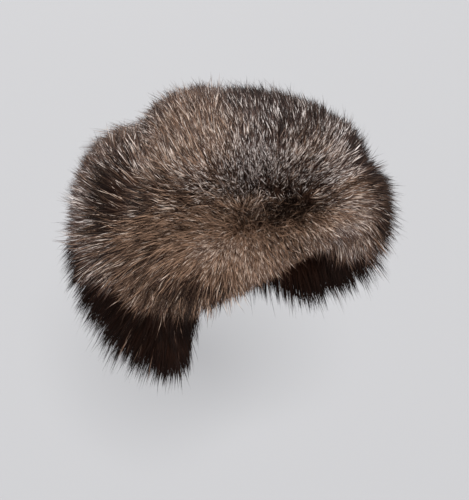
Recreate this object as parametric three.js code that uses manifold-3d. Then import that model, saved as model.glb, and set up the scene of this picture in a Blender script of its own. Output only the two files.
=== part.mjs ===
// Round fur hat, worn tilted back, with its hair in locks that are one with the underfur.
// Millimetres, +Z up. The wearer faces -Y, so -X is the wearer's right.
// The origin is where the top of the head meets the inside of the crown.
//
// A place on the hat is given by a turn, the angle from the front to the wearer's right in
// degrees, a level, which is 0 at the seat, 1 at the widest part of the head and goes on
// straight down past it, and out, the distance outside the hide's inner face.

import * as THREE from 'three';
import { mergeVertices } from 'three/addons/utils/BufferGeometryUtils.js';
import Module from 'manifold-3d';

const wasm = await Module();
wasm.setup();

// Head hollow
const HEAD_HALF_WIDTH = 78;
const HEAD_HALF_DEPTH = 98;
const DOME_HEIGHT = 95;
const DOME_ROUNDNESS = 2.3;

// Hide and seams
const HIDE_THICKNESS = 1.8;
const SEAM_GAP = 0.3;

// Edges of the hide panels, as heights at the front, at the temples and at the back
const PART_FRONT = -46;
const PART_TEMPLE = -62;
const PART_BACK = -9;
const HEM_FRONT = -72;
const HEM_TEMPLE = -112;
const HEM_BACK = -85;
const NAPE_RIGHT_EAR = -176;
const NAPE_LEFT_EAR = -154;
const NAPE_BACK = -146;
const HEAD_FORM_FOOT = -295;

// Slopes of the planes that part the furs, in degrees below level, from the hide outwards
const PART_SLOPE_FRONT = -10;
const PART_SLOPE_BACK = -36;
const HEM_SLOPE_FRONT = 72;
const HEM_SLOPE_SIDE = 21;

// Turns at which the panels change, in degrees
const VALLEY_TURN = 93;
const TURN_BLEND = 7;
const TEMPLE_DROP_TURNS = [30, 90];
const HEM_DROP_TURNS = [0, 68];
const HEM_RISE_TURNS = [74, 106];
const HEM_TILT_TURNS = [40, 57];
const NAPE_RISE_TURNS = [80, 130];
const RIGHT_EAR_TURNS = [67, 76];
const LEFT_EAR_TURNS = [35, 110];

// How far below the hide's seam the hair parts behind the ears, in levels
const BACK_PARTING_SHIFT = 0.22;

// Reach of the hair tips outside the hide's inner face
const REACH_TOP = 56;
const REACH_CUFF = 75;
const REACH_LOBE = 82;
const REACH_NAPE = 74;
const SHOULDER_LEVELS = [0.05, 0.75];
const NAPE_DEPTHS = [-14, 45];
const PARTING_LOSS = 20;
const PARTING_WIDTH = 14;
const PARTING_TURN = 25;
const PARTING_SPAN = 50;
const PARTING_LEVELS = [0.2, 0.5];
const LOBE_LOSS = 14;
const VALLEY_LOSS = 20;
const VALLEY_WIDTH = 8;
const CREST_DIP = 3;
const CREST_WIDTH = 0.2;
const FUR_SAG = 12;
const SAG_LEVELS = [0.55, 1];
const BROW_HANG = 10;
const NAPE_HANG = 34;
const BROW_ROUNDING = 0.8;
const NAPE_ROUNDING = 0.7;
const EDGE_RING = 0.97;

// Locks
const HAIR_PROUD = 13;
const CROWN_LOCKS = [4, 8, 12, 16, 18];
const FRONT_CUFF_LOCKS = 13;
const BACK_CUFF_LOCKS = 11;
const NAPE_LOCKS = 16;
const LOCK_LEAN = 34;
const NAPE_LEAN = 27;
const LOCK_WIDTH = 34;
const LOCK_HEIGHT = 11;
const LOCK_ROOT_DEPTH = 8;
const LOCK_STEPS = 2;
const LOCK_BLUNTNESS = 0.6;
const LOCK_BELLY = 0.4;
const LOCK_CURL = 0.4;
const ROW_STAGGER = 0.5;
const NAPE_TOP_ROW = 0.15;
const REACH_SPREAD = 0.07;
const LEAN_SPREAD = 0.25;
const PLACE_JITTER = 0.3;

// How far the roots of the locks stay inside their own fur, in levels and in degrees
const ROOT_MARGIN = 0.03;
const ROOT_MARGIN_TURN = 3;

// Repeatable random numbers
const RANDOM_FACTOR = 1664525;
const RANDOM_STEP = 1013904223;
const RANDOM_RANGE = 2 ** 32;

// Facets of the smooth walls
const HEAD_SEGMENTS = 24;
const HEAD_RINGS = 5;
const FUR_SEGMENTS = 32;
const FUR_RINGS = 9;
const CUTTER_INSET = 40;
const CUTTER_REACH = 170;
const CUTTER_TOP = 200;
const MERGE_DISTANCE = 1e-4;

// Where the hair parts over the brow, and the middle height of the lobe at the back
const SWIRL = new THREE.Vector3(-26, -132, -30);
const LOBE_MIDDLE = -70;

// Lie of the hair: how it fans out over the brow, and how far back it sweeps on each cuff
const BROW_FAN = 0.006;
const BROW_SWEEP = 0.3;
const LOBE_FAN = 0.012;
const LOBE_SWEEP = 0.8;

const toRadians = THREE.MathUtils.degToRad;
const mix = THREE.MathUtils.lerp;
const smooth = THREE.MathUtils.smoothstep;

// Turn between -180 and 180
function signedTurn(turn) {
  const wrapped = ((turn % 360) + 360) % 360;
  return wrapped > 180 ? wrapped - 360 : wrapped;
}

// Turn folded to 0 at the front and 180 at the back, the same on both sides
function turnFromFront(turn) {
  return Math.abs(signedTurn(turn));
}

// Bell from 1 at the centre to 0 a few widths away
function bell(distance, width) {
  return Math.exp(-((distance / width) ** 2));
}

// Share that runs from 0 before the side valley to 1 behind it
function backBlend(turn) {
  return smooth(turnFromFront(turn), VALLEY_TURN - TURN_BLEND, VALLEY_TURN + TURN_BLEND);
}

function partHeight(turn) {
  const front = mix(PART_FRONT, PART_TEMPLE, smooth(turnFromFront(turn), ...TEMPLE_DROP_TURNS));
  return mix(front, PART_BACK, backBlend(turn));
}

// Lower edge of the cuff, which hangs lower over the right temple than over the left
function hemHeight(turn) {
  const temple = mix(HEM_FRONT, HEM_TEMPLE, smooth(signedTurn(turn), ...HEM_DROP_TURNS));
  return mix(temple, HEM_BACK, smooth(turnFromFront(turn), ...HEM_RISE_TURNS));
}

// Lower edge of the nape's hide, which hangs lower over the right ear than over the left
function napeHeight(turn) {
  const ear = signedTurn(turn) > 0 ? NAPE_RIGHT_EAR : NAPE_LEFT_EAR;
  return mix(ear, NAPE_BACK, smooth(turnFromFront(turn), ...NAPE_RISE_TURNS));
}

// Share of the drop from the brow's hem to the nape's edge. On the left it is a long slope.
function earDrop(turn) {
  const side = signedTurn(turn);
  return side > 0 ? smooth(side, ...RIGHT_EAR_TURNS) : smooth(-side, ...LEFT_EAR_TURNS);
}

// Lowest edge of the hide: the hem over the brow, the nape's edge behind the ears
function edgeHeight(turn) {
  return mix(hemHeight(turn), napeHeight(turn), earDrop(turn));
}

// Lowest edge of the underfur, which hangs past the edge of the hide
function furEdgeHeight(turn) {
  return edgeHeight(turn) - mix(BROW_HANG, NAPE_HANG, earDrop(turn));
}

// Level at which the outer hair parts between the crown and the cuff
function partingLevel(turn) {
  return levelAt(partHeight(turn)) + BACK_PARTING_SHIFT * backBlend(turn);
}

function levelAt(height) {
  if (height < -DOME_HEIGHT) return -height / DOME_HEIGHT;
  const rise = (height + DOME_HEIGHT) / DOME_HEIGHT;
  return Math.acos(rise ** (DOME_ROUNDNESS / 2)) / (Math.PI / 2);
}

function heightAt(level) {
  if (level > 1) return -level * DOME_HEIGHT;
  return (Math.cos((level * Math.PI) / 2) ** (2 / DOME_ROUNDNESS) - 1) * DOME_HEIGHT;
}

function outward(turn, slope = 0) {
  const angle = toRadians(turn);
  const drop = toRadians(slope);
  return new THREE.Vector3(
    -Math.sin(angle) * Math.cos(drop),
    -Math.cos(angle) * Math.cos(drop),
    -Math.sin(drop),
  );
}

function skinNormal(turn, level) {
  const angle = toRadians(turn);
  const quarter = (Math.min(level, 1) * Math.PI) / 2;
  const power = (2 * (DOME_ROUNDNESS - 1)) / DOME_ROUNDNESS;
  const side = Math.sin(quarter) ** power;
  const rise = Math.max(Math.cos(quarter), 0) ** power;
  return new THREE.Vector3(
    (-side * Math.sin(angle)) / HEAD_HALF_WIDTH,
    (-side * Math.cos(angle)) / HEAD_HALF_DEPTH,
    rise / DOME_HEIGHT,
  ).normalize();
}

function skinPoint(turn, level, out = 0) {
  const angle = toRadians(turn);
  const spread = Math.sin((Math.min(level, 1) * Math.PI) / 2) ** (2 / DOME_ROUNDNESS);
  const point = new THREE.Vector3(
    -HEAD_HALF_WIDTH * spread * Math.sin(angle),
    -HEAD_HALF_DEPTH * spread * Math.cos(angle),
    heightAt(level),
  );
  return point.addScaledVector(skinNormal(turn, level), out);
}

// Closed solid from a list of corners and a list of triangles
function solidOf(corners, triangles) {
  const geometry = new THREE.BufferGeometry();
  geometry.setAttribute(
    'position',
    new THREE.Float32BufferAttribute(corners.flatMap((corner) => corner.toArray()), 3),
  );
  geometry.setIndex(triangles.flat());
  return solidOfGeometry(geometry);
}

function solidOfGeometry(geometry) {
  geometry.deleteAttribute('normal');
  geometry.deleteAttribute('uv');
  const merged = mergeVertices(geometry, MERGE_DISTANCE);
  return new wasm.Manifold(new wasm.Mesh({
    numProp: 3,
    vertProperties: new Float32Array(merged.attributes.position.array),
    triVerts: new Uint32Array(merged.index.array),
  }));
}

// Closed solid through rings of corners, with a single corner at its top and at its bottom.
// Its facets on the wearer's right mirror those on the left.
function ringSolid(top, rings, bottom) {
  const corners = [top, ...rings.flat(), bottom];
  const around = rings[0].length;
  const last = corners.length - 1;
  const at = (ring, place) => 1 + ring * around + (place % around);
  const triangles = [];
  for (let place = 0; place < around; place += 1) {
    triangles.push([0, at(0, place), at(0, place + 1)]);
    for (let ring = 0; ring + 1 < rings.length; ring += 1) {
      const [a, b] = [at(ring, place), at(ring, place + 1)];
      const [c, d] = [at(ring + 1, place), at(ring + 1, place + 1)];
      if (place < around / 2) triangles.push([a, c, d], [a, d, b]);
      else triangles.push([a, c, b], [b, c, d]);
    }
    triangles.push([at(rings.length - 1, place), last, at(rings.length - 1, place + 1)]);
  }
  return solidOf(corners, triangles);
}

// One ring of corners, running from the front through the wearer's left
function ringOf(segments, pointAt) {
  return Array.from({ length: segments }, (_, index) => pointAt((-360 * index) / segments));
}

// Solid head form a given distance outside the hide's inner face, carried down past the hat
function headForm(out) {
  const levels = [];
  for (let ring = 1; ring <= HEAD_RINGS; ring += 1) levels.push(ring / HEAD_RINGS);
  levels.push(levelAt(HEAD_FORM_FOOT));
  const rings = levels.map((level) => ringOf(HEAD_SEGMENTS, (turn) => skinPoint(turn, level, out)));
  return ringSolid(
    new THREE.Vector3(0, 0, out),
    rings,
    new THREE.Vector3(0, 0, heightAt(levels.at(-1))),
  );
}

// Everything above a seam that leaves the skin at a given height and falls outwards at a
// slope in degrees. The shift moves the seam up or down.
function aboveSeam(heightOf, slopeOf, shift) {
  const seam = (turn, reach) => {
    const start = skinPoint(turn, levelAt(heightOf(turn)));
    start.addScaledVector(outward(turn, slopeOf(turn)), reach);
    start.z += shift / Math.cos(toRadians(slopeOf(turn)));
    return start;
  };
  const inner = ringOf(FUR_SEGMENTS, (turn) => seam(turn, -CUTTER_INSET));
  const outer = ringOf(FUR_SEGMENTS, (turn) => seam(turn, CUTTER_REACH));
  const raised = outer.map((corner) => new THREE.Vector3(corner.x, corner.y, CUTTER_TOP));
  const floor = inner.reduce((sum, corner) => sum + corner.z, 0) / inner.length;
  return ringSolid(
    new THREE.Vector3(0, 0, CUTTER_TOP),
    [raised, outer, inner],
    new THREE.Vector3(0, 0, floor),
  );
}

// Upright wedge in front of the head, from one turn on the left to another on the right
function frontWedge(leftTurn, rightTurn, shift) {
  const far = CUTTER_REACH * 2;
  const left = toRadians(leftTurn);
  const right = toRadians(rightTurn);
  const outline = new THREE.Shape([
    new THREE.Vector2(0, shift),
    new THREE.Vector2(-far * Math.sin(right), shift - far * Math.cos(right)),
    new THREE.Vector2(-far, -far),
    new THREE.Vector2(far, -far),
    new THREE.Vector2(far * Math.sin(left), shift - far * Math.cos(left)),
  ]);
  const prism = new THREE.ExtrudeGeometry(outline, { depth: far * 2, bevelEnabled: false });
  prism.translate(0, 0, -far);
  return solidOfGeometry(prism);
}

// Everything on the wearer's right of the middle seam where side is -1, or on the left at 1
function halfBlock(side) {
  const far = CUTTER_REACH * 2;
  const block = new THREE.BoxGeometry(far, far * 2, far * 2);
  block.translate(side * (far / 2 + SEAM_GAP / 2), 0, 0);
  return solidOfGeometry(block);
}

// Reach of the hair tips at a place, less along the partings, in the two side valleys and in
// the dip at the top of the crown
function tipReach(turn, level) {
  const away = turnFromFront(turn);
  const height = heightAt(level);
  const behind = backBlend(turn);
  const napeShare = smooth(hemHeight(turn) - height, ...NAPE_DEPTHS);
  const brow = PARTING_LOSS * bell(signedTurn(turn) - PARTING_TURN, PARTING_SPAN);
  const depth = Math.max(brow, LOBE_LOSS * behind);
  const parting = depth * bell(heightAt(partingLevel(turn)) - height, PARTING_WIDTH);
  const valley = VALLEY_LOSS * bell(away - VALLEY_TURN, VALLEY_WIDTH);
  const widest = mix(REACH_CUFF, REACH_LOBE, behind);
  const shoulder = mix(REACH_TOP, widest, smooth(level, ...SHOULDER_LEVELS));
  const full = shoulder - Math.max(parting, valley) * smooth(level, ...PARTING_LEVELS);
  return mix(full, REACH_NAPE, napeShare) - CREST_DIP * bell(level, CREST_WIDTH);
}

function underfurDepth(turn, level) {
  return tipReach(turn, level) - HAIR_PROUD;
}

// A place in the fur, which sags under its own weight towards the lower edge
function furPoint(turn, level, out) {
  const point = skinPoint(turn, level, out);
  point.z -= FUR_SAG * smooth(level, ...SAG_LEVELS) * (out / REACH_CUFF);
  return point;
}

// The whole underfur as one lumpy body, rounded in to the skin at its lower edge
function underfurBody() {
  const shares = [];
  for (let ring = 1; ring < FUR_RINGS; ring += 1) shares.push(ring / FUR_RINGS);
  shares.push(EDGE_RING, 1);
  const rings = shares.map((share) => ringOf(FUR_SEGMENTS, (turn) => {
    const level = share * levelAt(furEdgeHeight(turn));
    const rounding = mix(BROW_ROUNDING, NAPE_ROUNDING, earDrop(turn));
    const closing = Math.sqrt(1 - Math.max((share - rounding) / (1 - rounding), 0) ** 2);
    return furPoint(turn, level, underfurDepth(turn, level) * closing);
  }));
  const inside = (turn) => skinPoint(turn, levelAt(furEdgeHeight(turn)), -CUTTER_INSET);
  return ringSolid(
    new THREE.Vector3(0, 0, underfurDepth(0, 0)),
    [...rings, ringOf(FUR_SEGMENTS, inside)],
    new THREE.Vector3(0, 0, HEM_TEMPLE),
  );
}

// Repeatable random numbers from 0 to 1
function randomFrom(seed) {
  let state = seed;
  return () => {
    state = (state * RANDOM_FACTOR + RANDOM_STEP) % RANDOM_RANGE;
    return state / RANDOM_RANGE;
  };
}

// One lock: a tapered strip with a raised spine, curved from its root over to its tip
function lockSolid(root, rootNormal, tip) {
  const elbow = root.clone().addScaledVector(rootNormal, root.distanceTo(tip) * LOCK_CURL);
  const spine = new THREE.QuadraticBezierCurve3(root, elbow, tip);
  const side = tip.clone().sub(root).cross(rootNormal).normalize();
  const corners = [];
  for (let step = 0; step < LOCK_STEPS; step += 1) {
    const share = step / LOCK_STEPS;
    const centre = spine.getPoint(share);
    const lift = side.clone().cross(spine.getTangent(share)).normalize();
    const taper = Math.cos((share * Math.PI) / 2) ** LOCK_BLUNTNESS;
    const across = side.clone().multiplyScalar((LOCK_WIDTH / 2) * taper);
    const back = centre.clone().addScaledVector(lift, -LOCK_HEIGHT * LOCK_BELLY * taper);
    corners.push(back.clone().sub(across), back.clone().add(across));
    corners.push(centre.addScaledVector(lift, LOCK_HEIGHT * (1 - LOCK_BELLY) * taper));
  }
  corners.push(tip);
  const triangles = [[0, 2, 1]];
  for (let step = 0; step + 1 < LOCK_STEPS; step += 1) {
    for (let edge = 0; edge < 3; edge += 1) {
      const a = step * 3 + edge;
      const b = step * 3 + ((edge + 1) % 3);
      triangles.push([a, b, b + 3], [a, b + 3, a + 3]);
    }
  }
  const end = (LOCK_STEPS - 1) * 3;
  for (let edge = 0; edge < 3; edge += 1) {
    triangles.push([end + edge, end + ((edge + 1) % 3), LOCK_STEPS * 3]);
  }
  const solid = solidOf(corners, triangles);
  return solid.volume() > 0 ? solid : solidOf(corners, triangles.map(([a, b, c]) => [a, c, b]));
}

// Locks in staggered rows over one region. The flow is the way the hair lies there.
function locksOver(region) {
  const random = randomFrom(region.seed);
  const around = (value, spread) => value + (random() - 0.5) * 2 * spread;
  const locks = [];
  for (let row = 0; row < region.rows; row += 1) {
    const count = region.countAt(row);
    for (let place = 0; place < count; place += 1) {
      const turnShare = around(place + ROW_STAGGER * (0.5 + (row % 2)), PLACE_JITTER) / count;
      const turn = mix(region.fromTurn, region.toTurn, turnShare);
      const levelShare = around(row + 0.5, PLACE_JITTER) / region.rows;
      const level = mix(region.topLevel(turn), region.lowLevel(turn), levelShare);
      const normal = skinNormal(turn, level);
      const root = furPoint(turn, level, underfurDepth(turn, level) - LOCK_ROOT_DEPTH);
      const lie = region.flow(root, turn).projectOnPlane(normal);
      lie.setLength(around(region.lean, region.lean * LEAN_SPREAD));
      const tip = furPoint(turn, level, around(1, REACH_SPREAD) * tipReach(turn, level)).add(lie);
      locks.push(lockSolid(root, normal, tip));
    }
  }
  return locks;
}

// The crown's hair sweeps up and away from the swirl over the brow
const crownRegion = {
  seed: 45,
  rows: CROWN_LOCKS.length,
  fromTurn: 0,
  toTurn: 360,
  countAt: (row) => CROWN_LOCKS[row],
  topLevel: () => ROOT_MARGIN,
  lowLevel: (turn) => partingLevel(turn) - ROOT_MARGIN,
  lean: LOCK_LEAN,
  flow: (root) => root.clone().sub(SWIRL),
};

// The cuff's hair falls from the parting and fans out to each side
const frontCuffRegion = {
  seed: 23,
  rows: 3,
  fromTurn: ROOT_MARGIN_TURN - VALLEY_TURN,
  toTurn: VALLEY_TURN - ROOT_MARGIN_TURN,
  countAt: () => FRONT_CUFF_LOCKS,
  topLevel: (turn) => partingLevel(turn) + ROOT_MARGIN,
  lowLevel: (turn) => levelAt(hemHeight(turn)) - ROOT_MARGIN,
  lean: LOCK_LEAN,
  flow: (root) => new THREE.Vector3(root.x * BROW_FAN, BROW_SWEEP, -1),
};

const backCuffRegion = {
  seed: 37,
  rows: 5,
  fromTurn: VALLEY_TURN + ROOT_MARGIN_TURN,
  toTurn: 360 - VALLEY_TURN - ROOT_MARGIN_TURN,
  countAt: () => BACK_CUFF_LOCKS,
  topLevel: (turn) => partingLevel(turn) + ROOT_MARGIN,
  lowLevel: (turn) => levelAt(hemHeight(turn)) - ROOT_MARGIN,
  lean: LOCK_LEAN,
  flow: (root) => new THREE.Vector3(0, LOBE_SWEEP, (root.z - LOBE_MIDDLE) * LOBE_FAN),
};

const napeRegion = {
  seed: 99,
  rows: 4,
  fromTurn: RIGHT_EAR_TURNS[0],
  toTurn: 360 - LEFT_EAR_TURNS[0] - ROOT_MARGIN_TURN,
  countAt: () => NAPE_LOCKS,
  topLevel: (turn) => mix(levelAt(hemHeight(turn)), levelAt(edgeHeight(turn)), NAPE_TOP_ROW),
  lowLevel: (turn) => levelAt(furEdgeHeight(turn)),
  lean: NAPE_LEAN,
  flow: () => new THREE.Vector3(0, 0, -1),
};

// The largest whole piece of a solid, without stray scraps or sealed bubbles
function largestPiece(solid) {
  const pieces = solid.decompose();
  return pieces.reduce((best, piece) => (piece.volume() > best.volume() ? piece : best));
}

function nodeOf(name, solid, material) {
  const cut = largestPiece(solid).getMesh();
  const geometry = new THREE.BufferGeometry();
  geometry.setAttribute('position', new THREE.Float32BufferAttribute(cut.vertProperties, 3));
  geometry.setIndex(new THREE.Uint32BufferAttribute(cut.triVerts, 1));
  geometry.computeVertexNormals();
  const mesh = new THREE.Mesh(geometry, material);
  mesh.name = name;
  return mesh;
}

const hide = new THREE.MeshStandardMaterial({ color: 0xb9a58a, roughness: 0.85, metalness: 0 });
const greyFur = new THREE.MeshStandardMaterial({ color: 0x6d625a, roughness: 0.95, metalness: 0 });
const brownFur = new THREE.MeshStandardMaterial({ color: 0x7a685a, roughness: 0.95, metalness: 0 });
const darkFur = new THREE.MeshStandardMaterial({ color: 0x2b221f, roughness: 0.95, metalness: 0 });

const halfGap = SEAM_GAP / 2;
const flatSlope = () => 0;
const partSlope = (turn) => mix(PART_SLOPE_FRONT, PART_SLOPE_BACK, backBlend(turn));
const hemTilt = (turn) => smooth(turnFromFront(turn), ...HEM_TILT_TURNS);
const hemSlope = (turn) => mix(HEM_SLOPE_FRONT, HEM_SLOPE_SIDE, hemTilt(turn));

// Hides
const hideShell = headForm(HIDE_THICKNESS).subtract(headForm(0));
const hideAbovePart = aboveSeam(partHeight, flatSlope, halfGap);
const hideBelowPart = aboveSeam(partHeight, flatSlope, -halfGap);
const hideAboveHem = aboveSeam(hemHeight, flatSlope, halfGap);
const hideBelowHem = aboveSeam(hemHeight, flatSlope, -halfGap);
const hideAboveNape = aboveSeam(edgeHeight, flatSlope, 0);
const earWedge = frontWedge(LEFT_EAR_TURNS[0], RIGHT_EAR_TURNS[0], 0);

const crownHide = hideShell.intersect(hideAbovePart);
const bandHide = hideShell.subtract(hideBelowPart).intersect(hideAboveHem);
const napeHide = hideShell.subtract(hideBelowHem).intersect(hideAboveNape).subtract(earWedge);
const frontWedgeInner = frontWedge(VALLEY_TURN, VALLEY_TURN, -halfGap);
const frontWedgeOuter = frontWedge(VALLEY_TURN, VALLEY_TURN, halfGap);
const rightHalf = halfBlock(-1);
const leftHalf = halfBlock(1);

// The four panels of a hide, parted in the middle and at the side valleys
function panelsOf(name, whole) {
  const front = whole.intersect(frontWedgeInner);
  const back = whole.subtract(frontWedgeOuter);
  return [
    nodeOf(`${name}_front_right`, front.intersect(rightHalf), hide),
    nodeOf(`${name}_front_left`, front.intersect(leftHalf), hide),
    nodeOf(`${name}_back_right`, back.intersect(rightHalf), hide),
    nodeOf(`${name}_back_left`, back.intersect(leftHalf), hide),
  ];
}

// Furs
const underfur = underfurBody();
const headSpace = headForm(HIDE_THICKNESS + SEAM_GAP);
const furAbovePart = aboveSeam(partHeight, partSlope, halfGap);
const furBelowPart = aboveSeam(partHeight, partSlope, -halfGap);
const furAboveHem = aboveSeam(hemHeight, hemSlope, halfGap);
const furBelowHem = aboveSeam(hemHeight, hemSlope, -halfGap);

function furOf(region, crop) {
  const whole = wasm.Manifold.union([underfur, ...locksOver(region)]);
  return crop(whole).subtract(headSpace);
}

const crownFur = furOf(crownRegion, (fur) => fur.intersect(furAbovePart));
const cuffCrop = (fur) => fur.subtract(furBelowPart).intersect(furAboveHem);
const frontCuffFur = furOf(frontCuffRegion, (fur) => cuffCrop(fur).intersect(frontWedgeInner));
const backCuffFur = furOf(backCuffRegion, (fur) => cuffCrop(fur).subtract(frontWedgeOuter));
const napeFur = furOf(napeRegion, (fur) => fur.subtract(furBelowHem).subtract(earWedge));

const hat = new THREE.Group();
hat.add(...panelsOf('crown_hide', crownHide));
hat.add(...panelsOf('band_hide', bandHide));
hat.add(nodeOf('nape_hide', napeHide, hide));
hat.add(nodeOf('crown_fur', crownFur, greyFur));
hat.add(nodeOf('front_cuff_fur', frontCuffFur, brownFur));
hat.add(nodeOf('back_cuff_fur', backCuffFur, brownFur));
hat.add(nodeOf('nape_fur', napeFur, darkFur));

export default hat;
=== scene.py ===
"""Round deep-fur hat, worn tilted back: long hair in tufts over an undercoat, on hide panels.

Sizes are in millimetres until a mesh is made. A place on the hat is a turn, the angle in
degrees from the front to the wearer's right, and a level, which is 0 at the top of the hollow,
1 at its widest and goes on straight down past it. Out is the distance outside the hides' inner
face. Where the fur is darker, browner or paler in one spot, the spot's centre and size are
given where it shows in the picture, in pixels. Some of the darker spots are painted shade.
"""

import math

import bpy
import numpy as np
from mathutils import Matrix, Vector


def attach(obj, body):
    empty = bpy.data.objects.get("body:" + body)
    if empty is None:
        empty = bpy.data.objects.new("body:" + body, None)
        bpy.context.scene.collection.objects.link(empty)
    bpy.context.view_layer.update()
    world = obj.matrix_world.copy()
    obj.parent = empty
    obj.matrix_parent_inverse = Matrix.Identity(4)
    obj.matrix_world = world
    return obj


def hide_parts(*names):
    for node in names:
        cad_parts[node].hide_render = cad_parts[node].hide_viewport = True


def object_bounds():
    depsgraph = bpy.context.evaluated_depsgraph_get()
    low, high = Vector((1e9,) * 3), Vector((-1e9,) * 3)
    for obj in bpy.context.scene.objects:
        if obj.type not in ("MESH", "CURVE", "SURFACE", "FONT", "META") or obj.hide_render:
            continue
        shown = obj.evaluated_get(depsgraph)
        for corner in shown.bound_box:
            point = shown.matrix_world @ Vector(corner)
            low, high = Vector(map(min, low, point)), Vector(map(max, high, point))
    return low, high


MM = 0.001
SEED = 100

# Smallest lengths that are divided by
TINY = 1e-9
SHORTEST = 1e-6

# Hollow inside the hides, and the hides' thickness and seams
HOLLOW_HALF_WIDTH = 78.0
HOLLOW_HALF_DEPTH = 98.0
DOME_HEIGHT = 95.0
DOME_ROUNDNESS = 2.3
HIDE_THICKNESS = 1.8
SEAM_GAP = 0.3

# Edges of the hides, as heights: the seam between crown and band, the hem of the band and the
# nape's lower edge
PART_FRONT = -46.0
PART_TEMPLE = -62.0
PART_BACK = -9.0
HEM_FRONT = -72.0
HEM_TEMPLE = -112.0
HEM_BACK = -85.0
NAPE_RIGHT_EAR = -176.0
NAPE_LEFT_EAR = -154.0
NAPE_BACK = -146.0

# Turns at which these edges change, and how much further down the fur parts behind the valley,
# as a level
VALLEY_TURN = 93.0
TURN_BLEND = 7.0
TEMPLE_DROP_TURNS = (30.0, 90.0)
HEM_DROP_TURNS = (0.0, 68.0)
HEM_RISE_TURNS = (74.0, 106.0)
RIGHT_EAR_TURNS = (67.0, 76.0)
LEFT_EAR_TURNS = (35.0, 110.0)
NAPE_RISE_TURNS = (80.0, 130.0)
BACK_PARTING_SHIFT = 0.22

# Reach of the hair tips outside the hides' inner face, at the top, the cuff, the lobe behind
# the ears and the nape
REACH_TOP = 56.0
REACH_CUFF = 75.0
REACH_LOBE = 82.0
REACH_NAPE = 74.0
SHOULDER_LEVELS = (0.05, 0.75)
NAPE_DEPTHS = (-14.0, 45.0)

# What the partings over the brow and over the lobe, the valley and the crest take off the
# reach, and how far the fur sags
PARTING_LOSS = 20.0
PARTING_WIDTH = 14.0
PARTING_TURN = 25.0
PARTING_SPAN = 50.0
PARTING_LEVELS = (0.2, 0.5)
LOBE_LOSS = 14.0
VALLEY_LOSS = 20.0
VALLEY_WIDTH = 8.0
CREST_DIP = 3.0
CREST_WIDTH = 0.2
FUR_SAG = 12.0
SAG_LEVELS = (0.55, 1.0)

# Share of the way down at which the undercoat starts to close in to its edge
BROW_ROUNDING = 0.8
NAPE_ROUNDING = 0.6

# Fineness of the undercoat and the hides, and where both start beside the top
AROUND = 200
DOWN = 80
HIDE_AROUND = 96
HIDE_DOWN = 10
TOP_START = 0.002

# Hide panels: where each piece runs round the hat, and the nodes that it replaces
QUARTERS = ("front_right", "front_left", "back_right", "back_left")
ALL_ROUND = (0.0, 360.0)
NAPE_INSET = 2.0
NAPE_TURNS = (RIGHT_EAR_TURNS[0] + NAPE_INSET, 360.0 - LEFT_EAR_TURNS[0] - NAPE_INSET)
HIDES = {
    "crown": ("crown_hide_panels", ALL_ROUND, [f"crown_hide_{part}" for part in QUARTERS]),
    "band": ("band_hide_panels", ALL_ROUND, [f"band_hide_{part}" for part in QUARTERS]),
    "nape": ("nape_hide_panel", NAPE_TURNS, ["nape_hide"]),
}
ABOVE = 1.0
BELOW = -1.0

# The four furs. Rise is how far a hair stands off the undercoat and lie how far it is combed
# along it. Banded and brown are the shares of these hairs, and dark_tone is the palest tone of
# a dark hair. Tufts are counted for each layer.
FURS = {
    "crown": {
        "rise": 21.0, "lie": 41.0, "stray_length": 1.18, "hair_width": 0.68,
        "banded": 0.55, "brown": 0.24, "warmth": 0.36, "dark_tone": 0.20, "gloss": 0.13,
        "tufts": {"short": 3600, "long": 3900}, "slot": "crown_fur",
    },
    "front_cuff": {
        "rise": 30.0, "lie": 35.0, "stray_length": 1.16, "hair_width": 0.62,
        "banded": 0.35, "brown": 0.50, "warmth": 0.75, "dark_tone": 0.20, "gloss": 0.07,
        "tufts": {"short": 3300, "long": 3700}, "slot": "cuff_fur",
    },
    "back_cuff": {
        "rise": 28.0, "lie": 42.0, "stray_length": 1.08, "hair_width": 0.68,
        "banded": 0.48, "brown": 0.28, "warmth": 0.45, "dark_tone": 0.16, "gloss": 0.10,
        "tufts": {"short": 3000, "long": 3400}, "slot": "cuff_fur",
    },
    # The nape's near-black hair is partly its own dark colour, partly painted shade of the
    # fur's underside
    "nape": {
        "rise": 31.0, "lie": 31.0, "stray_length": 1.05, "hair_width": 0.72,
        "banded": 0.0, "brown": 0.01, "warmth": 0.40, "dark_tone": 0.10, "gloss": 0.02,
        "tufts": {"short": 2000, "long": 2600}, "slot": "nape_fur",
    },
}
FRONT_FURS = ("crown", "front_cuff")

# Layers of the coat: the longest hair as a share of the full length, how much shorter the
# others are, and what is added to the shares of banded and of brown hair. The higher
# SHORTER_HAIRS is, the fewer hairs are short.
LAYERS = {
    "short": {"longest": 0.84, "spread": 0.26, "banded": -0.18, "brown": 0.15},
    "long": {"longest": 1.08, "spread": 0.34, "banded": 0.04, "brown": 0.0},
}
SHORTER_HAIRS = 1.6

# Room between the undercoat and the tips, depth of the roots, and how far past the solids' box
# a tip may stand
HAIR_RISE = 30.0
ROOT_DEPTH = 6.0
TRIM_MARGIN = 14.0

# Where the nape's dark hair starts above the hem: all round, in the valley and at the left
HAIR_HEM_RAISE = 13.0
VALLEY_HEM_RAISE = -6.0
VALLEY_HEM_WIDTH = 20.0
LEFT_HEM_RAISE = -18.0
LEFT_HEM_TURN = -58.0
LEFT_HEM_WIDTH = 30.0
LEAST_EAR_DROP = 0.02

# Course of a hair: the shares of its rise and lie that its bend has, and how far the tip droops
EARLY_RISE = 0.6
EARLY_LIE = 0.36
DROOP = 4.0

# Tufts, and the finer and longer stray hairs that leave them
HAIRS_PER_TUFT = 9
TUFT_RADIUS = 3.4
TUFT_LENGTH_SPREAD = 0.08
TUFT_LENGTHS = (0.84, 1.14)
TUFT_LIES = (0.85, 1.1)
TIP_GATHER = 0.4
TIP_SCATTER = 2.0
BEND_SCATTER = 2.0
STRAY_SHARE = 0.12
STRAY_SCATTER = 7.0
STRAY_WIDTH = 0.75

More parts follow.
